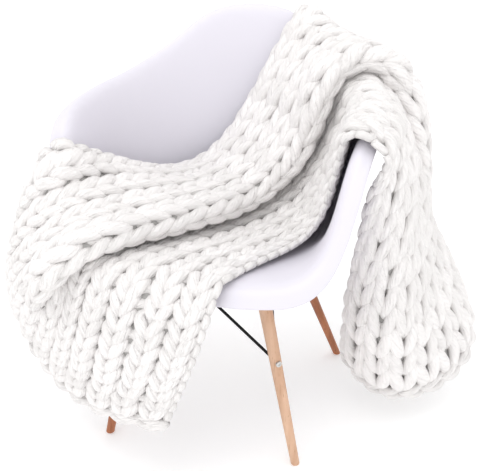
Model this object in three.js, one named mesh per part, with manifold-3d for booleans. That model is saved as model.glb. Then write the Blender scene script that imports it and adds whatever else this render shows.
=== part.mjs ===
// A chunky hand-knit blanket thrown over a plain moulded shell chair on four wooden legs.
// The chair faces -Y and stands on z = 0, +Z is up and all sizes are in millimetres.
// The blanket is one thick sheet: it hangs outside the chair's left arm, crosses that arm and the
// back's left shoulder, folds over itself across the seat and hangs over the right front corner.
import * as THREE from "three";
import Module from "manifold-3d";

const wasm = await Module();
wasm.setup();

// ---- driving dimensions ----
const shellThickness = 6;
const legTopRadius = 14;
const legFootRadius = 9;
const legTopHeight = 392;
const footChamfer = [1, 1.5]; // inwards and upwards
const boltHeight = 232;
const capRadius = 6;
const capThickness = 3.5;
const capSink = 1.2; // how far below the leg's surface a cap's seat is
const rodRadius = 3;
// Where the two rods that share a corner end, inwards from the leg's top and to the side.
const rodEnds = [[42, 7], [58, -7]];
const barWidth = 24;
const barThickness = 6;
const barLift = 2; // how far the flat bars stand above the legs' tops
const cupDepth = 26;
const cupWall = 3.5;
const mountRadius = 15;
const mountShare = 0.3; // how far in from a leg's top a mount is, as a share of the way to the middle
const blanketWidth = 650;
const blanketLength = 1750;
const blanketThickness = 20;
const seatedGap = 0.3; // between pieces that rest on each other
const clothGap = 0.8; // between the blanket and the shell where it comes closest
const roundSides = 24;

const finishes = {
  yarn: new THREE.MeshStandardMaterial({ color: 0xf6f3f1, roughness: 0.95, metalness: 0 }),
  moulding: new THREE.MeshStandardMaterial({ color: 0xefeef4, roughness: 0.38, metalness: 0 }),
  beech: new THREE.MeshStandardMaterial({ color: 0xdcae88, roughness: 0.55, metalness: 0 }),
  blackSteel: new THREE.MeshStandardMaterial({ color: 0x141414, roughness: 0.45, metalness: 0.6 }),
  zinc: new THREE.MeshStandardMaterial({ color: 0xd5d5d2, roughness: 0.3, metalness: 0.9 }),
  rubber: new THREE.MeshStandardMaterial({ color: 0x1b1b1b, roughness: 0.8, metalness: 0 }),
};

// ---- the moulded shell ----
// Its radial profile at each angle from the front: reach from the seat's centre and height, at the
// seat, the turn into the wall, the wall, the crest of the rim and the rim's lip.
const seatCentreHeight = 416;
const shellProfiles = [
  { angle: 0, seat: [110, 422], turn: [190, 432], wall: [235, 438], crest: [268, 435], lip: [290, 409] },
  { angle: 25, seat: [115, 421], turn: [200, 431], wall: [255, 438], crest: [296, 435], lip: [317, 408] },
  { angle: 40, seat: [120, 420], turn: [215, 430], wall: [278, 440], crest: [320, 443], lip: [341, 415] },
  { angle: 50, seat: [125, 420], turn: [222, 432], wall: [280, 458], crest: [320, 482], lip: [346, 458] },
  { angle: 60, seat: [125, 419], turn: [222, 436], wall: [272, 490], crest: [305, 580], lip: [338, 560] },
  { angle: 68, seat: [122, 418], turn: [218, 440], wall: [262, 505], crest: [292, 645], lip: [330, 632] },
  { angle: 80, seat: [120, 418], turn: [212, 440], wall: [250, 510], crest: [284, 664], lip: [318, 658] },
  { angle: 100, seat: [118, 416], turn: [205, 438], wall: [243, 510], crest: [278, 674], lip: [308, 671] },
  { angle: 120, seat: [115, 414], turn: [200, 436], wall: [238, 515], crest: [276, 688], lip: [300, 687] },
  { angle: 140, seat: [115, 413], turn: [198, 436], wall: [235, 530], crest: [276, 727], lip: [297, 728] },
  { angle: 160, seat: [115, 412], turn: [198, 440], wall: [236, 550], crest: [282, 791], lip: [298, 793] },
  { angle: 180, seat: [115, 412], turn: [198, 442], wall: [238, 560], crest: [287, 808], lip: [303, 810] },
];
const shellStations = ["seat", "turn", "wall", "crest", "lip"];
const shellSpokes = 60;
const shellRings = 15;

// A smooth curve through evenly numbered values.
function throughFour(before, from, to, after, share) {
  const square = share * share;
  const cube = square * share;
  return (
    0.5 *
    (2 * from +
      (to - before) * share +
      (2 * before - 5 * from + 4 * to - after) * square +
      (3 * from - before - 3 * to + after) * cube)
  );
}

// A point on a smooth curve through a list of points, with place counted in points.
function alongPoints(points, place) {
  const last = points.length - 1;
  const start = Math.min(Math.floor(place), last - 1);
  const share = place - start;
  const before = points[start - 1] ?? points[start].map((value, axis) => 2 * value - points[start + 1][axis]);
  const after = points[start + 2] ?? points[start + 1].map((value, axis) => 2 * value - points[start][axis]);
  return points[start].map((value, axis) =>
    throughFour(before[axis], value, points[start + 1][axis], after[axis], share),
  );
}

// The shell's profile at any angle, blended between the rows of the table.
function profileAt(degrees) {
  const angle = Math.abs(((degrees + 180) % 360) - 180);
  const row = Math.max(0, shellProfiles.findLastIndex((profile) => profile.angle <= angle));
  const from = Math.min(row, shellProfiles.length - 2);
  const span = shellProfiles[from + 1].angle - shellProfiles[from].angle;
  const share = (angle - shellProfiles[from].angle) / span;
  const slope = (index, station, axis) => {
    const left = shellProfiles[index - 1];
    const right = shellProfiles[index + 1];
    return left && right ? (right[station][axis] - left[station][axis]) / (right.angle - left.angle) : 0;
  };
  const ease = share * share * (3 - 2 * share);
  const leave = share * (1 - share) * (1 - share);
  const arrive = share * share * (share - 1);
  const points = shellStations.map((station) =>
    [0, 1].map(
      (axis) =>
        shellProfiles[from][station][axis] * (1 - ease) +
        shellProfiles[from + 1][station][axis] * ease +
        span * (leave * slope(from, station, axis) + arrive * slope(from + 1, station, axis)),
    ),
  );
  return [[0, seatCentreHeight], ...points];
}

// A point on the middle of the shell's wall. along runs from 0 at the seat's centre to 1 at the lip.
function shellPoint(degrees, along) {
  const [reach, height] = alongPoints(profileAt(degrees), along * shellStations.length);
  const angle = THREE.MathUtils.degToRad(degrees);
  return new THREE.Vector3(reach * Math.sin(angle), -reach * Math.cos(angle), height);
}

function shellNormal(degrees, along) {
  const step = 0.01;
  const inner = Math.max(along, 0.04);
  const outwards = shellPoint(degrees, Math.min(inner + step, 1)).sub(shellPoint(degrees, inner - step));
  const around = shellPoint(degrees + 1, inner).sub(shellPoint(degrees - 1, inner));
  return outwards.cross(around).normalize();
}

function shellGeometry() {
  const positions = [];
  const faces = [];
  const half = shellThickness / 2;
  for (const side of [1, -1]) {
    positions.push(0, 0, seatCentreHeight + side * half);
    for (let ring = 1; ring <= shellRings; ring++) {
      for (let spoke = 0; spoke < shellSpokes; spoke++) {
        const degrees = (360 / shellSpokes) * spoke;
        const normal = shellNormal(degrees, ring / shellRings);
        const point = shellPoint(degrees, ring / shellRings).addScaledVector(normal, side * half);
        positions.push(...point);
      }
    }
  }
  const layer = 1 + shellRings * shellSpokes;
  const index = (side, ring, spoke) => side * layer + 1 + (ring - 1) * shellSpokes + (spoke % shellSpokes);
  const quad = (a, b, c, d, flip) => faces.push(...(flip ? [a, c, b, a, d, c] : [a, b, c, a, c, d]));
  for (const side of [0, 1]) {
    for (let spoke = 0; spoke < shellSpokes; spoke++) {
      const centre = side * layer;
      const near = index(side, 1, spoke);
      const next = index(side, 1, spoke + 1);
      faces.push(...(side ? [centre, next, near] : [centre, near, next]));
      for (let ring = 1; ring < shellRings; ring++) {
        quad(
          index(side, ring, spoke),
          index(side, ring + 1, spoke),
          index(side, ring + 1, spoke + 1),
          index(side, ring, spoke + 1),
          side === 1,
        );
      }
    }
  }
  for (let spoke = 0; spoke < shellSpokes; spoke++) {
    quad(
      index(0, shellRings, spoke),
      index(1, shellRings, spoke),
      index(1, shellRings, spoke + 1),
      index(0, shellRings, spoke + 1),
      false,
    );
  }
  return indexed(positions, faces);
}

function indexed(positions, faces) {
  const geometry = new THREE.BufferGeometry();
  geometry.setAttribute("position", new THREE.Float32BufferAttribute(positions, 3));
  geometry.setIndex(faces);
  return geometry;
}

// ---- the blanket ----
// Where its lines run at each of its sections, from the hem outside the left arm, over the rim and
// across the seat, to the hem at the front. The front line is the blanket's front edge and the back
// line its back edge. The fifth is the crest of a fold, and the fourth is tucked in under it.
const laidSections = [
  {
    name: "left hem",
    front: [262, 66, 132], second: [298, -42, 118], third: [385, -80, 104], fourth: [470, 20, 108],
    fifth: [572, 138, 112], sixth: [520, 262, 205], back: [400, 330, 330],
  },
  {
    name: "left drop",
    front: [270, -26, 345], second: [294, -116, 335], third: [386, -105, 330], fourth: [412, 0, 335],
    fifth: [424, 105, 345], sixth: [400, 225, 410], back: [330, 320, 490],
  },
  {
    name: "under the left rim",
    front: [330, -110, 605], second: [364, -70, 600], third: [386, 5, 606], fourth: [344, 88, 616],
    fifth: [382, 126, 654], sixth: [308, 230, 724], back: [195, 308, 740],
  },
  {
    name: "left lip",
    front: [338, -99, 652], second: [345, -38, 668], third: [352, 34, 692], fourth: [280, 152, 694],
    fifth: [340, 86, 744], sixth: [266, 224, 806], back: [100, 312, 796],
  },
  {
    name: "left rim",
    front: onShell(73, 0.84, 28), second: onShell(85, 0.84, 28), third: [274, 74, 720], fourth: [200, 180, 728],
    fifth: [276, 72, 774], sixth: [186, 212, 846], back: onShell(164, 0.84, 27),
  },
  {
    name: "inside the left arm",
    front: onShell(71, 0.74, 30), second: onShell(86, 0.68, 26), third: onShell(106, 0.68, 26),
    fourth: onShell(135, 0.7, 24), fifth: onShell(102, 0.76, 64), sixth: onShell(143, 0.75, 76),
    back: onShell(170, 0.72, 24),
  },
  {
    name: "foot of the wall",
    front: [226, -78, 505], second: onShell(92, 0.5, 28), third: onShell(118, 0.43, 24),
    fourth: onShell(156, 0.5, 24), fifth: onShell(112, 0.45, 60), sixth: onShell(168, 0.56, 70),
    back: onShell(-163, 0.47, 26),
  },
  {
    name: "seat",
    front: [182, -98, 458], second: [130, -30, 446], third: [52, -18, 440], fourth: [-60, 50, 442],
    fifth: [38, -128, 474], sixth: [-58, 20, 506], back: onShell(-128, 0.46, 28),
  },
  {
    name: "front of the seat",
    front: [108, -150, 450], second: [50, -172, 450], third: [-20, -165, 448], fourth: [-122, -98, 448],
    fifth: [-28, -232, 470], sixth: [-146, -95, 524], back: onShell(-94, 0.67, 28),
  },
  {
    name: "front rim",
    front: onShell(12, 0.88, 23), second: onShell(-7, 0.86, 24), third: onShell(-25, 0.84, 24),
    fourth: onShell(-44, 0.8, 24), fifth: [-92, -322, 474], sixth: [-240, -222, 558], back: onShell(-64, 0.84, 28),
  },
  {
    name: "front lip",
    front: [76, -336, 406], second: [-35, -322, 408], third: [-142, -318, 412], fourth: [-250, -268, 432],
    fifth: [-176, -358, 440], sixth: [-308, -266, 486], back: [-320, -166, 593],
  },
  {
    name: "front drop",
    front: [45, -362, 330], second: [-52, -375, 328], third: [-150, -370, 332], fourth: [-232, -322, 343],
    fifth: [-288, -326, 352], sixth: [-402, -218, 402], back: [-425, -75, 445],
  },
  {
    name: "front hem",
    front: [-10, -360, 212], second: [-125, -342, 176], third: [-232, -284, 162], fourth: [-335, -205, 182],
    fifth: [-436, -118, 220], sixth: [-488, -8, 262], back: [-440, 75, 330],
  },
];
// How far across the blanket's width each line lies.
const laidShares = { front: 0, second: 0.14, third: 0.28, fourth: 0.44, fifth: 0.6, sixth: 0.8, back: 1 };
const laidLines = Object.keys(laidShares);
const rowsLong = 61;
const rowsWide = 30;
const settleSteps = 120;
const smoothingSteps = 30;
const longestPush = 8;
const longestEase = 2;
const seatedRows = [25, 47]; // the rows that lie well inside the shell
const shellClearance = shellThickness / 2 + blanketThickness / 2 + 4.5;
const rimClearance = shellClearance + 10;
const rimFrom = 0.78;
const layerClearance = blanketThickness + 18;
const floorClearance = blanketThickness / 2 + 3;

// A point beside the shell, lifted off the middle of its wall.
function onShell(degrees, along, lift) {
  return shellPoint(degrees, along).addScaledVector(shellNormal(degrees, along), lift).toArray();
}

// A share of the blanket's width, counted in lines.
function linePlace(share) {
  const shares = Object.values(laidShares);
  const from = Math.min(shares.findLastIndex((one) => one <= share), shares.length - 2);
  return from + (share - shares[from]) / (shares[from + 1] - shares[from]);
}

function laidBlanket() {
  const lengths = laidSections.slice(1).map((section, i) => {
    const steps = laidLines.map((name) => Math.hypot(...section[name].map((v, k) => v - laidSections[i][name][k])));
    return steps.reduce((sum, step) => sum + step, 0) / laidLines.length;
  });
  const total = lengths.reduce((sum, length) => sum + length, 0);
  const at = new Float64Array(rowsLong * rowsWide * 3);
  for (let row = 0; row < rowsLong; row++) {
    let section = 0;
    let left = (total * row) / (rowsLong - 1);
    while (section < lengths.length - 1 && left > lengths[section]) left -= lengths[section++];
    const place = section + Math.min(left / lengths[section], 1);
    const line = laidLines.map((name) => alongPoints(laidSections.map((one) => one[name]), place));
    for (let column = 0; column < rowsWide; column++) {
      at.set(alongPoints(line, linePlace(column / (rowsWide - 1))), (row * rowsWide + column) * 3);
    }
  }
  return at;
}

// Pairs of points that the knit holds together, with the least and the most length it allows.
function knitLinks() {
  const along = blanketLength / (rowsLong - 1);
  const across = blanketWidth / (rowsWide - 1);
  const kinds = [
    { rows: 1, columns: 0, least: 0.6 * along, most: 1.12 * along },
    { rows: 0, columns: 1, least: 0.806 * across, most: 1.339 * across },
    { rows: 1, columns: 1, least: 0.657 * Math.hypot(along, across), most: 1.336 * Math.hypot(along, across) },
    { rows: 1, columns: -1, least: 0.657 * Math.hypot(along, across), most: 1.336 * Math.hypot(along, across) },
    { rows: 2, columns: 0, least: 1.1 * along, most: 3 * along },
    { rows: 0, columns: 2, least: 1.6 * across, most: 3.72 * across },
    { rows: 0, columns: 3, least: 1.736 * across, most: 4.96 * across },
  ];
  const links = [];
  for (const kind of kinds) {
    for (let row = 0; row + kind.rows < rowsLong; row++) {
      for (let column = Math.max(0, -kind.columns); column + Math.max(0, kind.columns) < rowsWide; column++) {
        const from = row * rowsWide + column;
        links.push([from, from + kind.rows * rowsWide + kind.columns, kind.least, kind.most]);
      }
    }
  }
  return links;
}

// Moves two points apart or together, each by half, to a distance between least and most.
function holdApart(at, from, to, least, most) {
  const x = at[3 * to] - at[3 * from];
  const y = at[3 * to + 1] - at[3 * from + 1];
  const z = at[3 * to + 2] - at[3 * from + 2];
  const squared = x * x + y * y + z * z;
  if (squared >= least * least && squared <= most * most) return;
  const length = Math.sqrt(squared) || 1e-9;
  const share = ((length < least ? least : most) / length - 1) / 2;
  at[3 * from] -= x * share;
  at[3 * from + 1] -= y * share;
  at[3 * from + 2] -= z * share;
  at[3 * to] += x * share;
  at[3 * to + 1] += y * share;
  at[3 * to + 2] += z * share;
}

// Samples of the shell that the blanket is kept clear of.
function shellSamples() {
  const samples = [];
  const rings = 40;
  const spokes = 120;
  for (let ring = 2; ring <= rings; ring++) {
    for (let spoke = 0; spoke < spokes; spoke++) {
      const degrees = (360 / spokes) * spoke;
      const point = shellPoint(degrees, ring / rings);
      const normal = shellNormal(degrees, ring / rings);
      samples.push({ point, normal, onRim: ring / rings >= rimFrom });
    }
  }
  return samples;
}

// Pushes every point of the blanket out to its clearance from the shell: away from the rim all round,
// and away from the wall on the side it is on.
function clearShell(at, samples, cloud, sides) {
  const away = new THREE.Vector3();
  for (let i = 0; i < at.length; i += 3) {
    let best = Infinity;
    let nearest = 0;
    for (let k = 0; k < cloud.length; k += 3) {
      const x = at[i] - cloud[k];
      const y = at[i + 1] - cloud[k + 1];
      const z = at[i + 2] - cloud[k + 2];
      const squared = x * x + y * y + z * z;
      if (squared < best) {
        best = squared;
        nearest = k / 3;
      }
    }
    const sample = samples[nearest];
    away.fromArray(at, i).sub(sample.point);
    let short = rimClearance - away.length();
    if (sample.onRim) {
      away.normalize();
    } else {
      const height = away.dot(sample.normal);
      if (sides[i / 3] === 0) sides[i / 3] = Math.sign(height);
      short = shellClearance - height * sides[i / 3];
      away.copy(sample.normal).multiplyScalar(sides[i / 3]);
    }
    if (sample.onRim) sides[i / 3] = 0;
    if (short <= 0) continue;
    away.multiplyScalar(Math.min(short, longestPush));
    at[i] += away.x;
    at[i + 1] += away.y;
    at[i + 2] += away.z;
  }
}

// Keeps layers of the blanket that lie on each other a thickness apart.
function clearLayers(at) {
  for (let from = 0; from < rowsLong * rowsWide; from++) {
    const row = Math.floor(from / rowsWide);
    const column = from % rowsWide;
    for (let to = from + 1; to < rowsLong * rowsWide; to++) {
      const x = at[3 * to] - at[3 * from];
      if (x > layerClearance || x < -layerClearance) continue;
      const apart = Math.abs(Math.floor(to / rowsWide) - row) + Math.abs((to % rowsWide) - column);
      if (apart >= 3) holdApart(at, from, to, layerClearance, Infinity);
    }
  }
}

// Evens out the blanket's bends, each point moving towards the middle of its neighbours.
function easeBends(at, share) {
  const before = at.slice();
  const middle = (from, to, axis) => (before[3 * from + axis] + before[3 * to + axis]) / 2;
  for (let row = 0; row < rowsLong; row++) {
    for (let column = 0; column < rowsWide; column++) {
      const i = row * rowsWide + column;
      for (const axis of [0, 1, 2]) {
        const along = row > 0 && row < rowsLong - 1 ? middle(i - rowsWide, i + rowsWide, axis) : null;
        const across = column > 0 && column < rowsWide - 1 ? middle(i - 1, i + 1, axis) : null;
        const goal = along === null ? across : across === null ? along : (along + across) / 2;
        if (goal === null) continue;
        const move = share * (goal - before[3 * i + axis]);
        at[3 * i + axis] += Math.min(Math.max(move, -longestEase), longestEase);
      }
    }
  }
}

// Lets the laid blanket settle: it sags, keeps the knit's lengths and stays clear of the shell.
function settledBlanket() {
  const laid = laidBlanket();
  const at = laid.slice();
  const links = knitLinks();
  const samples = shellSamples();
  const cloud = new Float64Array(samples.flatMap((sample) => sample.point.toArray()));
  const sides = new Int8Array(at.length / 3).fill(1, seatedRows[0] * rowsWide, seatedRows[1] * rowsWide);
  const sag = 0.3;
  const hold = 0.04;
  for (let step = 0; step < settleSteps; step++) {
    for (let i = 0; i < at.length; i++) at[i] += hold * (laid[i] - at[i]) - (i % 3 === 2 ? sag : 0);
    for (let pass = 0; pass < 3; pass++) {
      for (const [from, to, least, most] of links) holdApart(at, from, to, least, most);
    }
    easeBends(at, 0.15);
    clearLayers(at);
    clearShell(at, samples, cloud, sides);
    for (let i = 2; i < at.length; i += 3) at[i] = Math.max(at[i], floorClearance);
  }
  for (let step = 0; step < smoothingSteps; step++) {
    easeBends(at, 0.4);
    clearLayers(at);
    clearShell(at, samples, cloud, sides);
  }
  return at;
}

// The sheet's own thickness, half to each side of its middle.
function blanketGeometry(at) {
  const clamp = (value, count) => Math.min(Math.max(value, 0), count - 1);
  const place = (row, column) => clamp(row, rowsLong) * rowsWide + clamp(column, rowsWide);
  const point = (row, column) => new THREE.Vector3().fromArray(at, 3 * place(row, column));
  const each = (make) =>
    Array.from({ length: rowsLong * rowsWide }, (_, i) => make(Math.floor(i / rowsWide), i % rowsWide));
  const normals = each((row, column) => {
    const along = point(row + 1, column).sub(point(row - 1, column));
    const across = point(row, column + 1).sub(point(row, column - 1));
    return along.cross(across).normalize();
  });
  const evened = each((row, column) => {
    const sum = normals[place(row, column)].clone().multiplyScalar(2);
    for (const [down, over] of [[1, 0], [-1, 0], [0, 1], [0, -1]]) sum.add(normals[place(row + down, column + over)]);
    return sum.normalize();
  });
  const positions = [];
  const faces = [];
  for (const side of [1, -1]) {
    each((row, column) => {
      const normal = evened[place(row, column)];
      positions.push(...point(row, column).addScaledVector(normal, (side * blanketThickness) / 2));
    });
  }
  const index = (side, row, column) => (side * rowsLong + row) * rowsWide + column;
  const quad = (a, b, c, d, flip) => faces.push(...(flip ? [a, c, b, a, d, c] : [a, b, c, a, c, d]));
  for (const side of [0, 1]) {
    for (let row = 0; row + 1 < rowsLong; row++) {
      for (let column = 0; column + 1 < rowsWide; column++) {
        quad(
          index(side, row, column),
          index(side, row + 1, column),
          index(side, row + 1, column + 1),
          index(side, row, column + 1),
          side === 1,
        );
      }
    }
  }
  for (let row = 0; row + 1 < rowsLong; row++) {
    for (const [column, flip] of [[0, true], [rowsWide - 1, false]]) {
      quad(index(0, row, column), index(1, row, column), index(1, row + 1, column), index(0, row + 1, column), !flip);
    }
  }
  for (let column = 0; column + 1 < rowsWide; column++) {
    for (const [row, flip] of [[0, false], [rowsLong - 1, true]]) {
      quad(index(0, row, column), index(1, row, column), index(1, row, column + 1), index(0, row, column + 1), !flip);
    }
  }
  return indexed(positions, faces);
}

// ---- the chair's legs and seat frame ----
// Each leg leans from its foot to its top, in order around the seat.
const legs = [
  { name: "front_left", foot: [202, -190], top: [120, -165] },
  { name: "rear_left", foot: [227, 227], top: [100, 114] },
  { name: "rear_right", foot: [-227, 227], top: [-100, 114] },
  { name: "front_right", foot: [-202, -190], top: [-120, -165] },
];

function legCentre(leg, height) {
  const share = height / legTopHeight;
  return leg.foot.map((value, axis) => value + share * (leg.top[axis] - value));
}

// A round bar that leans: level circles between two heights, with a radius at each.
function leaning(leg, stations) {
  const positions = [];
  const faces = [];
  for (const { height, radius } of stations) {
    const [x, y] = legCentre(leg, height);
    for (let side = 0; side < roundSides; side++) {
      const angle = (2 * Math.PI * side) / roundSides;
      positions.push(x + radius * Math.cos(angle), y + radius * Math.sin(angle), height);
    }
  }
  const count = stations.length;
  positions.push(...legCentre(leg, stations[0].height), stations[0].height);
  positions.push(...legCentre(leg, stations[count - 1].height), stations[count - 1].height);
  const bottom = count * roundSides;
  for (let side = 0; side < roundSides; side++) {
    const next = (side + 1) % roundSides;
    for (let ring = 0; ring + 1 < count; ring++) {
      const low = ring * roundSides;
      const high = low + roundSides;
      faces.push(low + side, low + next, high + next, low + side, high + next, high + side);
    }
    const top = (count - 1) * roundSides;
    faces.push(bottom, next, side, bottom + 1, top + side, top + next);
  }
  return indexed(positions, faces);
}

function legRadius(height) {
  return legFootRadius + ((legTopRadius - legFootRadius) * height) / legTopHeight;
}

const { Manifold, Mesh } = wasm;

function toSolid(geometry) {
  return new Manifold(
    new Mesh({
      numProp: 3,
      vertProperties: new Float32Array(geometry.getAttribute("position").array),
      triVerts: new Uint32Array(geometry.getIndex().array),
    }),
  );
}

function fromSolid(solid) {
  const mesh = solid.getMesh();
  return indexed(Array.from(mesh.vertProperties), Array.from(mesh.triVerts));
}

// A round bar between two points.
function bar(from, to, radius) {
  const along = new THREE.Vector3(...to).sub(new THREE.Vector3(...from));
  const turn = new THREE.Quaternion().setFromUnitVectors(new THREE.Vector3(0, 0, 1), along.clone().normalize());
  const matrix = new THREE.Matrix4().compose(new THREE.Vector3(...from), turn, new THREE.Vector3(1, 1, 1));
  return Manifold.cylinder(along.length(), radius, radius, roundSides).transform(matrix.elements);
}

const barBottom = legTopHeight + seatedGap + barLift;
const barTop = barBottom + barThickness;
const outwards = (leg, height) => new THREE.Vector2(...legCentre(leg, height)).normalize();

// Where each leg's bolt passes: flush caps sit in a round recess on the leg's outer side.
function capPlace(leg, reach) {
  const [x, y] = legCentre(leg, boltHeight);
  const out = outwards(leg, boltHeight);
  return [x + reach * out.x, y + reach * out.y, boltHeight];
}
const capSeat = legRadius(boltHeight) - capSink;

function legSolid(leg, grown) {
  return toSolid(
    leaning(leg, [
      { height: 0, radius: legRadius(0) - footChamfer[0] + grown },
      { height: footChamfer[1], radius: legRadius(footChamfer[1]) + grown },
      { height: legTopHeight + (grown ? 1 : 0), radius: legTopRadius + grown },
    ]),
  );
}

function legGeometry(leg) {
  const recess = bar(capPlace(leg, capSeat), capPlace(leg, capSeat + 10), capRadius + seatedGap);
  return fromSolid(legSolid(leg, 0).subtract(recess));
}

function capGeometry(leg) {
  const base = capSeat + seatedGap;
  const face = base + capThickness;
  const disc = bar(capPlace(leg, base), capPlace(leg, face), capRadius);
  const socket = bar(capPlace(leg, face - 1), capPlace(leg, face + 1), capRadius / 2);
  return fromSolid(disc.subtract(socket));
}

// Two flat bars cross under the seat and end in a cup around each leg's top.
function frameGeometry() {
  let solid = null;
  const add = (one) => (solid = solid ? solid.add(one) : one);
  for (const leg of legs) {
    const cupBottom = legTopHeight - cupDepth;
    const outer = legTopRadius + seatedGap + cupWall;
    add(toSolid(leaning(leg, [{ height: cupBottom, radius: outer }, { height: barTop, radius: outer }])));
  }
  for (const [from, to] of [[legs[0], legs[2]], [legs[1], legs[3]]]) {
    const run = new THREE.Vector2(to.top[0] - from.top[0], to.top[1] - from.top[1]);
    const turned = Manifold.cube([run.length(), barWidth, barThickness], false)
      .translate([0, -barWidth / 2, 0])
      .rotate([0, 0, THREE.MathUtils.radToDeg(run.angle())])
      .translate([...from.top, barBottom]);
    add(turned);
  }
  for (const leg of legs) {
    const mouth = legTopHeight - cupDepth - 1;
    const bore = leaning(leg, [
      { height: mouth, radius: legRadius(mouth) + seatedGap },
      { height: legTopHeight + seatedGap, radius: legTopRadius + seatedGap },
    ]);
    solid = solid.subtract(toSolid(bore));
  }
  return fromSolid(solid);
}

// A thin rod from one leg's bolt to the flat bar beside a neighbouring leg's top.
function rodGeometry(leg, neighbour, [inwards, aside]) {
  const centre = new THREE.Vector2(...neighbour.top).negate().normalize();
  const end = new THREE.Vector2(...neighbour.top)
    .addScaledVector(centre, inwards)
    .add(new THREE.Vector2(-centre.y, centre.x).multiplyScalar(aside));
  const rod = bar([...legCentre(leg, boltHeight), boltHeight], [end.x, end.y, barTop], rodRadius);
  return fromSolid(rod.subtract(legSolid(leg, seatedGap)).trimByPlane([0, 0, -1], -(barBottom - seatedGap)));
}

// A rubber mount between the flat bars and the shell's underside.
function mountGeometry(leg, shellMesh) {
  const [x, y] = leg.top.map((value) => value * (1 - mountShare));
  const ray = new THREE.Raycaster();
  let top = Infinity;
  for (let side = 0; side <= roundSides; side++) {
    const angle = (2 * Math.PI * side) / roundSides;
    const reach = side === roundSides ? 0 : mountRadius;
    ray.set(new THREE.Vector3(x + reach * Math.cos(angle), y + reach * Math.sin(angle), barTop), new THREE.Vector3(0, 0, 1));
    top = Math.min(top, ray.intersectObject(shellMesh)[0].point.z);
  }
  const base = barTop + seatedGap;
  return fromSolid(bar([x, y, base], [x, y, top - seatedGap], mountRadius));
}

// How far one piece can sink before it meets the other, from each piece's corners.
function heightAbove(upper, lower) {
  const ray = new THREE.Raycaster();
  const corner = new THREE.Vector3();
  let least = Infinity;
  for (const [from, onto, down] of [[upper, lower, -1], [lower, upper, 1]]) {
    const corners = from.geometry.getAttribute("position");
    for (let i = 0; i < corners.count; i++) {
      ray.set(corner.fromBufferAttribute(corners, i), new THREE.Vector3(0, 0, down));
      least = Math.min(least, ray.intersectObject(onto)[0]?.distance ?? Infinity);
    }
  }
  return least;
}

const chair = new THREE.Group();
function addPiece(name, geometry, finish) {
  const mesh = new THREE.Mesh(geometry, finish);
  mesh.name = name;
  chair.add(mesh);
  return mesh;
}

const shell = addPiece("shell", shellGeometry(), finishes.moulding);
addPiece("seat_frame", frameGeometry(), finishes.blackSteel);
legs.forEach((leg, i) => {
  const next = legs[(i + 1) % legs.length];
  addPiece(`leg_${leg.name}`, legGeometry(leg), finishes.beech);
  addPiece(`cap_${leg.name}`, capGeometry(leg), finishes.zinc);
  addPiece(`mount_${leg.name}`, mountGeometry(leg, shell), finishes.rubber);
  addPiece(`rod_${leg.name}_to_${next.name}`, rodGeometry(leg, next, rodEnds[0]), finishes.blackSteel);
  addPiece(`rod_${next.name}_to_${leg.name}`, rodGeometry(next, leg, rodEnds[1]), finishes.blackSteel);
});
const blanket = addPiece("blanket", blanketGeometry(settledBlanket()), finishes.yarn);
blanket.geometry.translate(0, 0, clothGap - heightAbove(blanket, shell));

// The origin is the middle of the bottom of the whole object's box.
const box = new THREE.Box3().setFromObject(chair);
const middle = box.getCenter(new THREE.Vector3());
for (const mesh of chair.children) mesh.geometry.translate(-middle.x, -middle.y, -box.min.z);

export default chair;
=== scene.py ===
import math

import bpy
import numpy as np
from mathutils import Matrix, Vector


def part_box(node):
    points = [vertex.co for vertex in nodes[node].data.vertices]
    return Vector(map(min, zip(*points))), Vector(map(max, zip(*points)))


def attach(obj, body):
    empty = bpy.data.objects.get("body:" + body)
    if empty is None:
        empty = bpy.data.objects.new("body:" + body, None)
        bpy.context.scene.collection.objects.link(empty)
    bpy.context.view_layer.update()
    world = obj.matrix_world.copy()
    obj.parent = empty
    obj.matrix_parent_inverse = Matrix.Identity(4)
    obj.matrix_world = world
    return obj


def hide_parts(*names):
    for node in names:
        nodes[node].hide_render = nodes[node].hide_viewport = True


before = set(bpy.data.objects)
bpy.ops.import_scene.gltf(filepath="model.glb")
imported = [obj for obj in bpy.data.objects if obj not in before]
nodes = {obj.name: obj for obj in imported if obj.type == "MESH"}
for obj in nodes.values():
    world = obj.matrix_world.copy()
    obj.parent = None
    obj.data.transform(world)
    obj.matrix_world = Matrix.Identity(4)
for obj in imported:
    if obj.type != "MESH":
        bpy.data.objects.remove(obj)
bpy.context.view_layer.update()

# The chair's own middle, found from its two front feet.
frontFootAhead = 0.190  # from the middle forward to the feet
footRadius = 0.009
leftFoot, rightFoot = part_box("leg_front_left"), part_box("leg_front_right")
chairX = (leftFoot[1].x + rightFoot[0].x) / 2
chairY = min(leftFoot[0].y, rightFoot[0].y) + footRadius + frontFootAhead

# Where the camera stands, round the chair and above it in degrees, and what it looks at.
cameraView = {
    "azimuth": 14.352, "elevation": 25.534, "distance": 1.71,
    "lens": 58.76, "target": (0.025, 0.065, 0.375),
}


def makeCamera():
    azimuth, elevation = math.radians(cameraView["azimuth"]), math.radians(cameraView["elevation"])
    back = Vector((
        math.sin(azimuth) * math.cos(elevation),
        -math.cos(azimuth) * math.cos(elevation),
        math.sin(elevation),
    ))
    data = bpy.data.cameras.new("camera")
    data.lens = cameraView["lens"]
    camera = bpy.data.objects.new("camera", data)
    bpy.context.scene.collection.objects.link(camera)
    camera.rotation_mode = "QUATERNION"
    target = Vector(cameraView["target"]) + Vector((chairX, chairY, 0))
    camera.location = target + back * cameraView["distance"]
    camera.rotation_quaternion = (-back).to_track_quat("-Z", "Y")
    bpy.context.scene.camera = camera


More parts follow.
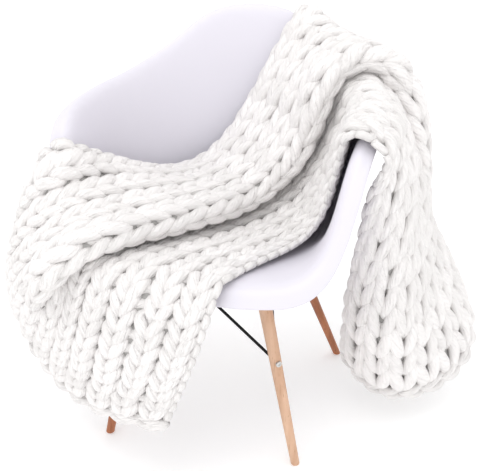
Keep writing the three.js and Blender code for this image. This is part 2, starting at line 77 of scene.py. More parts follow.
# White room: an even sky, two soft lamps in front, and a floor that glows a little.
studio = {
    "floorSize": 14.0, "floorColour": (0.93, 0.93, 0.93, 1), "floorRoughness": 0.9,
    "floorGlow": 0.2, "glowColour": (1.0, 1.0, 1.0, 1),
    "worldColour": (1.0, 1.0, 1.0, 1), "worldStrength": 1.06,
    "lampsAim": (0, 0, 0.45),
    "keyPlace": (-1.6, -2.2, 3.0), "keySize": 2.2, "keyPower": 7.0,
    "fillPlace": (-0.1, -1.1, 2.7), "fillSize": 1.6, "fillPower": 12.0,
}


def areaLight(name, place, size, power):
    data = bpy.data.lights.new(name, "AREA")
    data.size, data.energy = size, power
    light = bpy.data.objects.new(name, data)
    bpy.context.scene.collection.objects.link(light)
    light.location = place
    light.rotation_mode = "QUATERNION"
    light.rotation_quaternion = (Vector(studio["lampsAim"]) - Vector(place)).to_track_quat("-Z", "Y")


def makeStudio():
    world = bpy.data.worlds.new("studio")
    bpy.context.scene.world = world
    world.use_nodes = True
    world.node_tree.nodes["Background"].inputs["Color"].default_value = studio["worldColour"]
    world.node_tree.nodes["Background"].inputs["Strength"].default_value = studio["worldStrength"]
    areaLight("keyLight", studio["keyPlace"], studio["keySize"], studio["keyPower"])
    areaLight("fillLight", studio["fillPlace"], studio["fillSize"], studio["fillPower"])
    half = studio["floorSize"] / 2
    mesh = bpy.data.meshes.new("floor")
    corners = [(-half, -half, 0), (half, -half, 0), (half, half, 0), (-half, half, 0)]
    mesh.from_pydata(corners, [], [(0, 1, 2, 3)])
    floor = bpy.data.objects.new("floor", mesh)
    bpy.context.scene.collection.objects.link(floor)
    material = bpy.data.materials.new("floor")
    material.use_nodes = True
    shader = material.node_tree.nodes["Principled BSDF"]
    shader.inputs["Base Color"].default_value = studio["floorColour"]
    shader.inputs["Roughness"].default_value = studio["floorRoughness"]
    shader.inputs["Emission Color"].default_value = studio["glowColour"]
    shader.inputs["Emission Strength"].default_value = studio["floorGlow"]
    mesh.materials.append(material)
    bpy.context.scene.view_settings.view_transform = "Standard"


makeCamera()
makeStudio()
print("camera and studio")


# How the blanket's solid is laid out, so that its lie can be read back from it.
gridRows, gridColumns = 61, 30  # points along and across
solidThickness = 0.020
sameWithin = 2e-5  # corners this close are one point
aside = [tuple(sign if k == axis else 0 for k in range(3)) for axis in range(3) for sign in (1, -1)]


def weldedMesh(obj):
    # The solid's points, each once, and its triangles by those points.
    mesh = obj.data
    places = np.empty(len(mesh.vertices) * 3)
    mesh.vertices.foreach_get("co", places)
    places = places.reshape(-1, 3)
    keys = {}
    same = np.empty(len(places), int)
    kept = []
    for i, key in enumerate(map(tuple, np.round(places / sameWithin).astype(int))):
        found = None
        for near in ((0, 0, 0), *aside):
            found = keys.get((key[0] + near[0], key[1] + near[1], key[2] + near[2]))
            if found is not None:
                break
        if found is None:
            found = keys[key] = len(kept)
            kept.append(places[i])
        same[i] = found
    mesh.calc_loop_triangles()
    triangles = np.empty(len(mesh.loop_triangles) * 3, int)
    mesh.loop_triangles.foreach_get("vertices", triangles)
    return np.array(kept), same[triangles].reshape(-1, 3)


def readLayers(obj):
    # The grid of points on each side of the blanket, found by walking from face to face.
    points, triangles = weldedMesh(obj)
    turn = {}  # for each point, the neighbour that follows each neighbour round it
    for a, b, c in triangles.tolist():
        for v, p, q in ((a, b, c), (b, c, a), (c, a, b)):
            turn.setdefault(v, {})[p] = q

    def ahead(fromPoint, at):  # straight on, past three of six neighbours
        for _ in range(3):
            fromPoint = turn[at][fromPoint]
        return fromPoint

    def gap(p, q):
        return float(np.linalg.norm(points[p] - points[q]))

    # The walk starts at the corner that lies furthest out to the side, where points have four neighbours.
    few = [v for v in turn if len(turn[v]) == 4]
    pairs = [(p, q) for p in few for q in few if p < q and q in turn[p]]
    first, second = max(pairs, key=lambda pair: points[pair[0]][0])
    walks = []
    for p, q in ((first, second), (second, first)):
        start = [n for n in turn[p] if n not in turn[q] and n != q][0]
        walk = [p, start]
        while len(turn[walk[-1]]) == 6 and len(walk) < gridRows:
            walk.append(ahead(walk[-2], walk[-1]))
        walks.append(walk)
    edge = max(walks, key=len)
    upper = np.zeros((gridRows, gridColumns), int)
    lower = np.zeros((gridRows, gridColumns), int)
    upper[:, -1] = edge
    for r in range(gridRows):
        near = [n for n in turn[edge[r]] if n not in edge]
        lower[r, -1] = min(near, key=lambda n: abs(gap(n, edge[r]) - solidThickness))
    for layer, other in ((upper, lower), (lower, upper)):
        p, q = layer[0, -1], layer[1, -1]
        forward = turn[p][q] not in (other[0, -1], other[1, -1])
        for c in range(gridColumns - 2, -1, -1):
            for r in range(gridRows - 1):
                p, q = layer[r, c + 1], layer[r + 1, c + 1]
                layer[r, c] = turn[p][q] if forward else turn[q][p]
            p, q = layer[gridRows - 2, c], layer[gridRows - 1, c + 1]
            layer[gridRows - 1, c] = turn[p][q] if forward else turn[q][p]
            if layer[gridRows - 1, c] == layer[gridRows - 2, c + 1]:
                layer[gridRows - 1, c] = turn[q][p] if forward else turn[p][q]
    thick = np.linalg.norm(points[upper] - points[lower], axis=2)
    print("blanket solid read, thickness", round(thick.min(), 4), "to", round(thick.max(), 4))
    return points[lower], points[upper]


upper, lower = readLayers(nodes["blanket"])
middle = (upper + lower) / 2
outward = (upper - lower) / np.linalg.norm(upper - lower, axis=2, keepdims=True)
slopeStep = 0.25  # in grid squares, for measuring the cloth's slope and stretch
justInside = 1e-6


def cubicWeights(t):
    t2, t3 = t * t, t * t * t
    weights = [-t + 2 * t2 - t3, 2 - 5 * t2 + 3 * t3, t + 4 * t2 - 3 * t3, t3 - t2]
    return np.stack([weight / 2 for weight in weights], -1)


def readGrid(grid, a, b):
    # Smooth value at row a and column b, which are kept on the grid.
    rows, columns = grid.shape[:2]
    padded = np.pad(grid, ((1, 1), (1, 1), (0, 0)), mode="reflect", reflect_type="odd")
    a, b = np.clip(a, 0, rows - 1 - justInside), np.clip(b, 0, columns - 1 - justInside)
    i, j = np.floor(a).astype(int), np.floor(b).astype(int)
    u, v = cubicWeights(a - i), cubicWeights(b - j)
    value = 0
    for k in range(4):
        for m in range(4):
            value = value + padded[i + k, j + m] * (u[..., k] * v[..., m])[..., None]
    return value


def clothPoint(a, b, n):
    # The cloth's own surface: n is the height above its middle, in metres.
    # Past a hem it runs straight on.
    out = readGrid(outward, a, b)
    out = out / np.linalg.norm(out, axis=-1, keepdims=True)
    point = readGrid(middle, a, b)
    inside = np.clip(a, 0, gridRows - 1)
    past = a - inside
    slope = (point - readGrid(middle, inside - np.sign(past) * slopeStep, b)) / slopeStep
    return point + slope * np.abs(past)[..., None] + out * np.asarray(n)[..., None], out


# The knitting: each row is one yarn, from the front hem to the side hem.
knit = {
    "columns": 11, "rows": 40,  # stitches across and along
    "rowSpread": 0.22,          # rows are this share closer at the front hem and wider at the side hem
    "sideMargin": 0.3, "startMargin": 0.5,  # in grid squares at the long edges, in rows at the hems
    # How much wider the columns near the front edge are: at the front hem, the middle and the side hem.
    "columnLean": (-0.2, 0.06, 0.15),
    "stitchWidth": 0.057, "stitchLength": 0.0425,
    "halfWidth": 0.0132, "halfDepth": 0.0098,  # of the yarn where it is loosest
    "around": 10, "samples": 22,  # sides of the yarn and cuts per stitch
    "wobble": 0.05, "heightWobble": 0.5, "fatnessWobble": 0.03, "seed": 7,
    "leastStretch": 0.6, "mostStretch": 1.2,
    "pieces": ("front", "middle", "side"),
}
# Half of one stitch, from between two stitches to the top of its loop.
# Each point is across, along, height in mm and fatness.
halfStitch = [
    (-0.50, -0.08, -3.6, 0.84), (-0.26, -0.20, -3.4, 0.82), (-0.10, -0.04, 1.5, 0.90),
    (-0.15, 0.34, 6.0, 1.04), (-0.25, 0.76, 6.0, 1.06), (-0.33, 1.12, 2.0, 0.95),
    (-0.27, 1.36, -3.2, 0.80), (0.0, 1.46, -3.8, 0.80),
]
# Where a row's yarn comes up the side edge from the row before.
edgeTurn = [(-0.02, -1.05, -3.0, 0.72), (-0.08, -0.62, 0.0, 0.82), (0.0, -0.28, -3.0, 0.74)]


def rowPath(chance):
    # One row's yarn from the first stitch to the last, with each stitch a little out of place.
    count = knit["columns"]
    keys = []
    for s in range(count):
        shift = np.array([
            *chance.normal(0, knit["wobble"], 2),
            chance.normal(0, knit["heightWobble"]),
            chance.normal(0, knit["fatnessWobble"]),
        ])
        half = [np.array(p) for p in halfStitch]
        for p in half[1:]:
            keys.append(p + shift + (s + 0.5, 0, 0, 0))
        for p in half[-2:0:-1]:
            keys.append(p * (-1, 1, 1, 1) + shift + (s + 0.5, 0, 0, 0))
        if s < count - 1:
            keys.append(np.array((s + 1.0, *halfStitch[0][1:])))
    turn = [np.array(p) for p in edgeTurn]
    back = [p * (-1, 1, 1, 1) + (count, 0, 0, 0) for p in reversed(turn)]
    return np.array(turn + keys + back)


def throughPoints(keys, pieces):
    # A smooth line through the keys, with that many cuts between each two.
    padded = np.vstack([2 * keys[0] - keys[1], keys, 2 * keys[-1] - keys[-2]])
    weights = cubicWeights(np.arange(pieces) / pieces)
    parts = [weights @ padded[i:i + 4] for i in range(len(keys) - 1)]
    return np.vstack([*parts, keys[-1:]])


def tube(centres, outs, halfWidths, halfDepths, around):
    # Flattened tube along the centres, closed at both ends.
    # Gives its points, its faces and how far along each ring is.
    tangent = np.gradient(centres, axis=0)
    tangent /= np.linalg.norm(tangent, axis=1, keepdims=True)
    side = np.cross(outs, tangent)
    side /= np.linalg.norm(side, axis=1, keepdims=True)
    up = np.cross(tangent, side)
    angle = np.arange(around) / around * 2 * math.pi
    rings = (
        centres[:, None]
        + side[:, None] * np.cos(angle)[None, :, None] * halfWidths[:, None, None]
        + up[:, None] * np.sin(angle)[None, :, None] * halfDepths[:, None, None]
    )
    count = len(centres)
    faces = []
    for i in range(count - 1):
        for k in range(around):
            n = (k + 1) % around
            faces.append((i * around + k, i * around + n, (i + 1) * around + n, (i + 1) * around + k))
    faces.append(tuple(range(around - 1, -1, -1)))
    faces.append(tuple((count - 1) * around + k for k in range(around)))
    along = np.concatenate([[0], np.cumsum(np.linalg.norm(np.diff(centres, axis=0), axis=1))])
    return rings.reshape(-1, 3), faces, along


strand = {
    "twist": 6.0,       # turns a metre
    "paintedFaceShade": 0.3,    # painted shade: how much paler the yarn's face is painted than its sides, and darker its underside
    "tones": (0.25, 0.5),  # from the darkest length of yarn to the palest
}


class Strands:
    # Gathers tubes into one mesh with the yarn's own map: along it in metres, and round it.
    def __init__(self, name):
        self.name, self.points, self.faces, self.maps, self.tones, self.size = name, [], [], [], [], 0

    def add(self, centres, outs, halfWidths, halfDepths, around, tone):
        points, faces, along = tube(centres, outs, halfWidths, halfDepths, around)
        for face in faces:
            self.faces.append([v + self.size for v in face])
            if len(face) == 4:
                ks = [v % around for v in face]
                seam = max(ks) - min(ks) > 1
                for v, k in zip(face, ks):
                    far = along[v // around]
                    turned = (1.0 if seam and k == 0 else k / around) + far * strand["twist"]
                    self.maps.append((far, turned))
                    # Painted shade round the yarn: its face paler, its sides and underside darker.
                    self.tones.append(tone + strand["paintedFaceShade"] * math.sin(2 * math.pi * k / around))
            else:
                self.maps.extend([(0, 0)] * len(face))
                self.tones.extend([tone] * len(face))
        self.points.append(points)
        self.size += len(points)

    def build(self, material):
        mesh = bpy.data.meshes.new(self.name)
        mesh.from_pydata(np.vstack(self.points).tolist(), [], self.faces)
        layer = mesh.uv_layers.new(name="yarn")
        layer.data.foreach_set("uv", np.array(self.maps, float).ravel())
        # Each corner's tone: the row's own tone with the painted shade round the yarn added.
        tone = mesh.attributes.new("tone", "FLOAT", "CORNER")
        tone.data.foreach_set("value", np.array(self.tones, float))
        mesh.polygons.foreach_set("use_smooth", [True] * len(mesh.polygons))
        mesh.materials.append(material)
        mesh.update()
        obj = bpy.data.objects.new(self.name, mesh)
        bpy.context.scene.collection.objects.link(obj)
        return obj


def nodeGroup(name, inputs, outputs):
    # Empty shader group with named sockets, and its two end nodes.
    group = bpy.data.node_groups.new(name, "ShaderNodeTree")
    for label, kind, value in inputs:
        socket = group.interface.new_socket(label, in_out="INPUT", socket_type="NodeSocket" + kind)
        if value is not None:
            socket.default_value = value
    for label, kind in outputs:
        group.interface.new_socket(label, in_out="OUTPUT", socket_type="NodeSocket" + kind)
    return group, group.nodes.new("NodeGroupInput"), group.nodes.new("NodeGroupOutput")


def speckGroup():
    # Faint cloudy change of colour and roughness, with fine grain for the bump.
    group, given, made = nodeGroup("surfaceSpeck", [
        ("Colour", "Color", (0.8, 0.8, 0.8, 1)), ("Shade", "Color", (0.7, 0.7, 0.7, 1)),
        ("Cloud Scale", "Float", 6.0), ("Cloud Amount", "Float", 0.2), ("Grain Scale", "Float", 900.0),
        ("Roughness Low", "Float", 0.3), ("Roughness High", "Float", 0.4),
    ], [("Colour", "Color"), ("Roughness", "Float"), ("Height", "Float")])
    place = group.nodes.new("ShaderNodeTexCoord")
    cloud = group.nodes.new("ShaderNodeTexNoise")
    grain = group.nodes.new("ShaderNodeTexNoise")
    amount = group.nodes.new("ShaderNodeMath")
    amount.operation = "MULTIPLY"
    mix = group.nodes.new("ShaderNodeMix")
    mix.data_type = "RGBA"
    span = group.nodes.new("ShaderNodeMapRange")
    link = group.links.new
    link(place.outputs["Object"], cloud.inputs["Vector"])
    link(place.outputs["Object"], grain.inputs["Vector"])
    link(given.outputs["Cloud Scale"], cloud.inputs["Scale"])
    link(given.outputs["Grain Scale"], grain.inputs["Scale"])
    link(cloud.outputs["Fac"], amount.inputs[0])
    link(given.outputs["Cloud Amount"], amount.inputs[1])
    link(amount.outputs[0], mix.inputs["Factor"])
    link(given.outputs["Colour"], mix.inputs["A"])
    link(given.outputs["Shade"], mix.inputs["B"])
    link(cloud.outputs["Fac"], span.inputs["Value"])
    link(given.outputs["Roughness Low"], span.inputs["To Min"])
    link(given.outputs["Roughness High"], span.inputs["To Max"])
    link(mix.outputs["Result"], made.inputs["Colour"])
    link(span.outputs["Result"], made.inputs["Roughness"])
    link(grain.outputs["Fac"], made.inputs["Height"])
    return group


timber = {
    "streakDetail": 5.0, "streakDistortion": 0.6, "streakRange": (0.3, 0.62),
    "fleckDetail": 1.0, "fleckDistortion": 0.0, "fleckRange": (0.66, 0.74),
}


def grainGroup():
    # Long streaks up the timber between two tones, with short dark flecks.
    group, given, made = nodeGroup("beechGrain", [
        ("Pale", "Color", (0.7, 0.5, 0.3, 1)), ("Dark", "Color", (0.5, 0.3, 0.2, 1)),
        ("Fleck", "Color", (0.3, 0.2, 0.1, 1)), ("Streak Scale", "Vector", (34.0, 34.0, 2.2)),
        ("Fleck Scale", "Vector", (420.0, 420.0, 42.0)), ("Fleck Amount", "Float", 0.55),
        ("Roughness Low", "Float", 0.4), ("Roughness High", "Float", 0.5),
    ], [("Colour", "Color"), ("Roughness", "Float"), ("Height", "Float")])
    link, new = group.links.new, group.nodes.new
    place = new("ShaderNodeTexCoord")
    noises = {}
    ranges = {}
    for kind in ("streak", "fleck"):
        stretch, noise = new("ShaderNodeMapping"), new("ShaderNodeTexNoise")
        noise.inputs["Scale"].default_value = 1.0
        noise.inputs["Detail"].default_value = timber[kind + "Detail"]
        noise.inputs["Distortion"].default_value = timber[kind + "Distortion"]
        link(place.outputs["Object"], stretch.inputs["Vector"])
        link(given.outputs[kind.capitalize() + " Scale"], stretch.inputs["Scale"])
        link(stretch.outputs["Vector"], noise.inputs["Vector"])
        noises[kind], ranges[kind] = noise.outputs["Fac"], new("ShaderNodeMapRange")
        low, high = timber[kind + "Range"]
        ranges[kind].inputs["From Min"].default_value = low
        ranges[kind].inputs["From Max"].default_value = high
        link(noises[kind], ranges[kind].inputs["Value"])
    streak, fleck, span = ranges["streak"], ranges["fleck"], new("ShaderNodeMapRange")
    streaked, flecked = new("ShaderNodeMix"), new("ShaderNodeMix")
    streaked.data_type = flecked.data_type = "RGBA"
    link(given.outputs["Fleck Amount"], fleck.inputs["To Max"])
    link(streak.outputs["Result"], streaked.inputs["Factor"])
    link(given.outputs["Dark"], streaked.inputs["A"])
    link(given.outputs["Pale"], streaked.inputs["B"])
    link(fleck.outputs["Result"], flecked.inputs["Factor"])
    link(streaked.outputs["Result"], flecked.inputs["A"])
    link(given.outputs["Fleck"], flecked.inputs["B"])
    link(noises["streak"], span.inputs["Value"])
    link(given.outputs["Roughness Low"], span.inputs["To Min"])
    link(given.outputs["Roughness High"], span.inputs["To Max"])
    link(flecked.outputs["Result"], made.inputs["Colour"])
    link(span.outputs["Result"], made.inputs["Roughness"])
    link(noises["fleck"], made.inputs["Height"])
    return group


def fuzzGroup():
    # Soft fuzz all over the yarn.
    group, given, made = nodeGroup("yarnFuzz", [("Scale", "Float", 330.0), ("Detail", "Float", 3.0)],
                                   [("Height", "Float")])
    place, fuzz = group.nodes.new("ShaderNodeTexCoord"), group.nodes.new("ShaderNodeTexNoise")
    group.links.new(place.outputs["Object"], fuzz.inputs["Vector"])
    group.links.new(given.outputs["Scale"], fuzz.inputs["Scale"])
    group.links.new(given.outputs["Detail"], fuzz.inputs["Detail"])
    group.links.new(fuzz.outputs["Fac"], made.inputs["Height"])
    return group


surfaceSpeck = speckGroup()
beechGrain = grainGroup()
yarnFuzz = fuzzGroup()


def startMaterial(name):
    material = bpy.data.materials.new(name)
    material.use_nodes = True
    tree = material.node_tree
    return material, tree, tree.nodes["Principled BSDF"]


def placeGroup(tree, group, values):
    placed = tree.nodes.new("ShaderNodeGroup")
    placed.node_tree = group
    for label, value in values.items():
        placed.inputs[label].default_value = value
    return placed


def hardMaterial(name, look):
    # Colour, roughness and the height of a fine bump all come from the group that the look names.
    material, tree, shader = startMaterial(name)
    surface = placeGroup(tree, look["group"], look["values"])
    bump = tree.nodes.new("ShaderNodeBump")
    bump.inputs["Strength"].default_value = look["bump"]
    bump.inputs["Distance"].default_value = look["bumpDistance"]
    tree.links.new(surface.outputs["Colour"], shader.inputs["Base Color"])
    tree.links.new(surface.outputs["Roughness"], shader.inputs["Roughness"])
    tree.links.new(surface.outputs["Height"], bump.inputs["Height"])
    tree.links.new(bump.outputs["Normal"], shader.inputs["Normal"])
    shader.inputs["Metallic"].default_value = look["metallic"]
    shader.inputs["Specular IOR Level"].default_value = look["specular"]
    return material


plainLook = {
    "group": surfaceSpeck, "bump": 0.06, "bumpDistance": 0.0002, "metallic": 0.0, "specular": 0.5}
mouldingLook = {**plainLook, "values": {
    "Colour": (0.765, 0.742, 0.812, 1), "Shade": (0.75, 0.728, 0.797, 1),
    "Cloud Scale": 5.0, "Cloud Amount": 0.6, "Grain Scale": 1500.0,
    "Roughness Low": 0.32, "Roughness High": 0.42}}
steelLook = {**plainLook, "bump": 0.25, "specular": 0.2, "values": {
    "Colour": (0.006, 0.006, 0.007, 1), "Shade": (0.012, 0.012, 0.013, 1),
    "Cloud Scale": 30.0, "Cloud Amount": 1.0, "Grain Scale": 2600.0,
    "Roughness Low": 0.42, "Roughness High": 0.55}}
zincLook = {**plainLook, "bump": 0.08, "metallic": 1.0, "values": {
    "Colour": (0.66, 0.66, 0.64, 1), "Shade": (0.5, 0.5, 0.49, 1),
    "Cloud Scale": 120.0, "Cloud Amount": 0.8, "Grain Scale": 3000.0,
    "Roughness Low": 0.28, "Roughness High": 0.42}}
rubberLook = {**plainLook, "bump": 0.3, "specular": 0.35, "values": {
    "Colour": (0.02, 0.02, 0.02, 1), "Shade": (0.035, 0.034, 0.033, 1),
    "Cloud Scale": 60.0, "Cloud Amount": 1.0, "Grain Scale": 2200.0,
    "Roughness Low": 0.62, "Roughness High": 0.78}}
beechLook = {
    "group": beechGrain, "bump": 0.15, "bumpDistance": 0.0003, "metallic": 0.0, "specular": 0.5}
paleBeechLook = {**beechLook, "values": {
    "Pale": (0.74, 0.49, 0.34, 1), "Dark": (0.54, 0.31, 0.19, 1), "Fleck": (0.36, 0.19, 0.09, 1),
    "Roughness Low": 0.42, "Roughness High": 0.56}}
# The same beech painted darker, as painted shade on every leg but the near front one.
shadedBeechLook = {**beechLook, "values": {
    "Pale": (0.46, 0.165, 0.07, 1), "Dark": (0.25, 0.072, 0.026, 1), "Fleck": (0.10, 0.035, 0.015, 1),
    "Roughness Low": 0.42, "Roughness High": 0.56}}

yarnLook = {
    # The shade colour is reached on the yarn's sides and underside as painted shade, and in darker rows
    # and fibres.
    "colour": (0.95, 0.925, 0.917, 1), "shade": (0.62, 0.60, 0.585, 1),
    "roughness": 0.95, "specular": 0.15, "sheen": 0.2, "sheenRoughness": 0.6,
    "fuzzScale": 330.0, "fuzzBump": 0.6, "fuzzDistance": 0.0025,
    "fibreScale": (42.0, 15.0, 1.0), "fibreDetail": 4.0, "fibreDistortion": 0.8,
    "fibreBump": 0.85, "fibreDistance": 0.006, "fibreShade": 0.5,
}
# The sheet behind the stitches is dark grey as painted shade in the gaps between them.
gapShadeLook = {**yarnLook, "colour": (0.43, 0.42, 0.41, 1), "shade": (0.47, 0.46, 0.45, 1)}


def woolMaterial(name, look):
    # Fuzz over plain wool: the noise that lifts the surface also shades it.
    material, tree, shader = startMaterial(name)
    fuzz = placeGroup(tree, yarnFuzz, {"Scale": look["fuzzScale"]})
    bump = tree.nodes.new("ShaderNodeBump")
    bump.inputs["Strength"].default_value = look["fuzzBump"]
    bump.inputs["Distance"].default_value = look["fuzzDistance"]
    mix = tree.nodes.new("ShaderNodeMix")
    mix.data_type = "RGBA"
    mix.inputs["A"].default_value, mix.inputs["B"].default_value = look["shade"], look["colour"]
    tree.links.new(fuzz.outputs["Height"], bump.inputs["Height"])
    tree.links.new(fuzz.outputs["Height"], mix.inputs["Factor"])
    tree.links.new(mix.outputs["Result"], shader.inputs["Base Color"])
    tree.links.new(bump.outputs["Normal"], shader.inputs["Normal"])
    shader.inputs["Roughness"].default_value = look["roughness"]
    shader.inputs["Specular IOR Level"].default_value = look["specular"]
    shader.inputs["Sheen Weight"].default_value = look["sheen"]
    shader.inputs["Sheen Roughness"].default_value = look["sheenRoughness"]
    return material, tree, shader, bump, mix


def yarnMaterial(name, look):
    # Long fibres laid along the yarn under the fuzz, and each row's own tone with painted shade on the
    # yarn's sides and underside.
    material, tree, shader, fuzzBump, mix = woolMaterial(name, look)
    link, new = tree.links.new, tree.nodes.new
    yarnMap, stretch = new("ShaderNodeUVMap"), new("ShaderNodeMapping")
    fibre = new("ShaderNodeTexNoise")
    yarnMap.uv_map = "yarn"
    stretch.inputs["Scale"].default_value = look["fibreScale"]
    fibre.inputs["Scale"].default_value, fibre.inputs["Detail"].default_value = 1.0, look["fibreDetail"]
    fibre.inputs["Distortion"].default_value = look["fibreDistortion"]
    tone, both, bump = new("ShaderNodeAttribute"), new("ShaderNodeMath"), new("ShaderNodeBump")
    tone.attribute_name = "tone"
    both.operation = "MULTIPLY_ADD"
    both.inputs[1].default_value = look["fibreShade"]
    bump.inputs["Strength"].default_value = look["fibreBump"]
    bump.inputs["Distance"].default_value = look["fibreDistance"]
    link(yarnMap.outputs["UV"], stretch.inputs["Vector"])
    link(stretch.outputs["Vector"], fibre.inputs["Vector"])
    link(fibre.outputs["Fac"], both.inputs[0])
    link(tone.outputs["Fac"], both.inputs[2])
    link(both.outputs[0], mix.inputs["Factor"])
    link(fibre.outputs["Fac"], bump.inputs["Height"])
    link(fuzzBump.outputs["Normal"], bump.inputs["Normal"])
    link(bump.outputs["Normal"], shader.inputs["Normal"])
    return material


materials = {
    "moulding": hardMaterial("moulding", mouldingLook),
    "blackSteel": hardMaterial("blackSteel", steelLook),
    "zinc": hardMaterial("zinc", zincLook),
    "rubber": hardMaterial("rubber", rubberLook),
    "paleBeech": hardMaterial("paleBeech", paleBeechLook),
    "shadedBeech": hardMaterial("shadedBeech", shadedBeechLook),
}
yarn = yarnMaterial("yarn", yarnLook)
# The sheet's material, its dark grey painted shade for the stitch gaps.
gapShadeBacking = woolMaterial("gapShadeBacking", gapShadeLook)[0]
print("materials")


def knitBlanket():
    chance = np.random.default_rng(knit["seed"])
    columnPitch = (gridColumns - 1 - 2 * knit["sideMargin"]) / knit["columns"]
    rowCount = knit["rows"] + 2 * knit["startMargin"]
    cuts = max(2, round(knit["samples"] / (2 * len(halfStitch) - 2)))
    blocks = [Strands("knit_" + part) for part in knit["pieces"]]
    front, centre, side = knit["columnLean"]
    for row in range(knit["rows"]):
        path = throughPoints(rowPath(chance), cuts)
        # From 0 at the front hem to 1 at the side hem.
        share = (knit["startMargin"] + row + path[:, 1]) / rowCount
        place = path[:, 0] / knit["columns"]
        lean = (
            front * (1 - share) * (1 - 2 * share)
            + centre * 4 * share * (1 - share)
            + side * share * (2 * share - 1)
        )
        b = knit["sideMargin"] + knit["columns"] * columnPitch * place * (1 + lean * (1 - place))
        a = (gridRows - 1) * (1 - share * (1 - knit["rowSpread"] * (1 - share)))
        rowPitch = (gridRows - 1) / rowCount * (1 - knit["rowSpread"] * (1 - 2 * share))
        # Where the cloth is gathered or spread, the yarn is thinner or fatter with it.
        right, left = clothPoint(a, b + slopeStep, 0 * a)[0], clothPoint(a, b - slopeStep, 0 * a)[0]
        after, before = clothPoint(a + slopeStep, b, 0 * a)[0], clothPoint(a - slopeStep, b, 0 * a)[0]
        across = np.linalg.norm(right - left, axis=1) / (2 * slopeStep) * columnPitch
        along = np.linalg.norm(after - before, axis=1) / (2 * slopeStep) * rowPitch
        stretch = np.sqrt(across / knit["stitchWidth"] * along / knit["stitchLength"])
        fit = np.clip(stretch, knit["leastStretch"], knit["mostStretch"])
        centres, outs = clothPoint(a, b, path[:, 2] / 1000 * fit)
        wide = knit["halfWidth"] * path[:, 3] * fit
        deep = knit["halfDepth"] * path[:, 3] * np.sqrt(fit)
        block = blocks[min(len(blocks) - 1, row * len(blocks) // knit["rows"])]
        block.add(centres, outs, wide, deep, knit["around"], chance.uniform(*strand["tones"]))
    return [block.build(yarn) for block in blocks]


# The chain stitches that close the knitting along a hem.
hem = {
    "chains": 13, "inset": 0.02,  # how far in from the edge the chain starts, in grid squares
    "halfHeight": 0.40, "linkShare": 0.98,
    "halfWidth": 0.0092, "halfDepth": 0.0092, "around": 10, "cuts": 3,
    "frontSeed": 11, "sideSeed": 12,
}
# Half of one chain stitch of the hem: along the hem, across it, height in mm, fatness.
halfChain = [
    (-0.15, 0.0, -3.0, 0.62), (0.06, -0.24, 4.0, 0.86), (0.45, -0.78, 7.0, 1.08),
    (0.88, -1.1, 1.0, 0.95), (1.18, -0.5, -4.0, 0.72), (1.24, 0.0, -5.0, 0.6),
]


def hemChain(name, atRow, towards, seed):
    chance = np.random.default_rng(seed)
    block = Strands(name)
    length = (gridColumns - 1) / hem["chains"] * hem["linkShare"]
    back = [np.array(p) * (1, -1, 1, 1) for p in halfChain[-2:0:-1]]
    path = throughPoints(np.array([*halfChain, *back, halfChain[0]]), hem["cuts"])
    for link in range(hem["chains"]):
        b = (link + path[:, 0]) * length
        a = atRow + towards * (hem["inset"] + path[:, 1] * hem["halfHeight"])
        centres, outs = clothPoint(a, b, path[:, 2] / 1000)
        wide, deep = hem["halfWidth"] * path[:, 3], hem["halfDepth"] * path[:, 3]
        block.add(centres, outs, wide, deep, hem["around"], chance.uniform(*strand["tones"]))
    return block.build(yarn)


# One thin sheet behind the stitches, for the loops that don't show; its dark grey is painted shade in the
# gaps between stitches.
liner = {"thickness": 0.003, "height": -0.002, "inset": 0.5, "finer": 2}


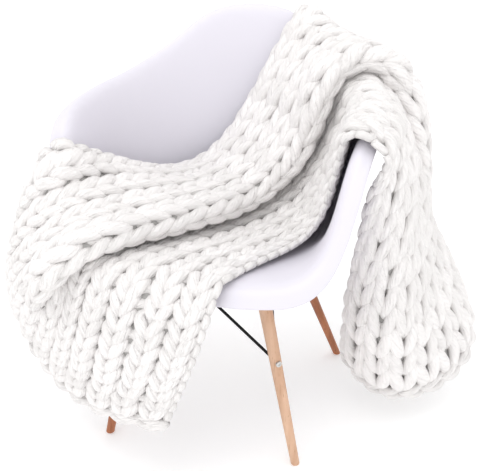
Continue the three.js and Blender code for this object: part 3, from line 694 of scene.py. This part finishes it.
def backingSheet():
    rows, columns = gridRows * liner["finer"] - 1, gridColumns * liner["finer"] - 1
    inset, half = liner["inset"], liner["thickness"] / 2
    a, b = np.meshgrid(
        np.linspace(inset, gridRows - 1 - inset, rows),
        np.linspace(inset, gridColumns - 1 - inset, columns), indexing="ij")
    top, _ = clothPoint(a, b, np.full(a.shape, liner["height"] + half))
    low, _ = clothPoint(a, b, np.full(a.shape, liner["height"] - half))
    points = np.vstack([top.reshape(-1, 3), low.reshape(-1, 3)])
    under = rows * columns  # where the lower layer's points start
    faces = []
    for r in range(rows - 1):
        for c in range(columns - 1):
            p = r * columns + c
            q, s, t = p + 1, p + columns + 1, p + columns
            faces += [(p, t, s, q), (under + p, under + q, under + s, under + t)]
    rim = list(range(columns)) + [r * columns + columns - 1 for r in range(1, rows)]
    rim += [(rows - 1) * columns + c for c in range(columns - 2, -1, -1)]
    rim += [r * columns for r in range(rows - 2, 0, -1)]
    for p, q in zip(rim, rim[1:] + rim[:1]):
        faces.append((p, q, under + q, under + p))
    mesh = bpy.data.meshes.new("blanket_sheet")
    mesh.from_pydata(points.tolist(), [], faces)
    mesh.polygons.foreach_set("use_smooth", [True] * len(mesh.polygons))
    mesh.materials.append(gapShadeBacking)
    obj = bpy.data.objects.new("blanket_sheet", mesh)
    bpy.context.scene.collection.objects.link(obj)
    return obj


sheet = backingSheet()
knitPieces = knitBlanket()
knitPieces.append(hemChain("hem_front", gridRows - 1, -1, hem["frontSeed"]))
knitPieces.append(hemChain("hem_side", 0, 1, hem["sideSeed"]))
for piece in [sheet, *knitPieces]:
    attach(piece, "root")
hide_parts("blanket")
print("blanket", [len(piece.data.polygons) for piece in knitPieces])


# The chair keeps its CAD pieces, with the shell made smoother.
chair = {"paleLeg": "leg_front_left", "weldWithin": 0.00001, "shellLevels": 2}
chairMaterials = {
    "shell": "moulding", "rod": "blackSteel", "seat": "blackSteel", "cap": "zinc", "mount": "rubber"}


def finishCadNodes():
    for name, obj in nodes.items():
        if name == "blanket":
            continue
        # All four legs are one beech; all but the near front leg take the darker copy as painted shade.
        legKind = "paleBeech" if name == chair["paleLeg"] else "shadedBeech"
        kind = chairMaterials.get(name.split("_")[0], legKind)
        obj.data.materials.clear()
        obj.data.materials.append(materials[kind])
        weld = obj.modifiers.new("weld", "WELD")
        weld.merge_threshold = chair["weldWithin"]
        if name == "shell":
            soft = obj.modifiers.new("soft", "SUBSURF")
            soft.levels = soft.render_levels = chair["shellLevels"]
        obj.data.polygons.foreach_set("use_smooth", [name == "shell"] * len(obj.data.polygons))


finishCadNodes()
print("chair")
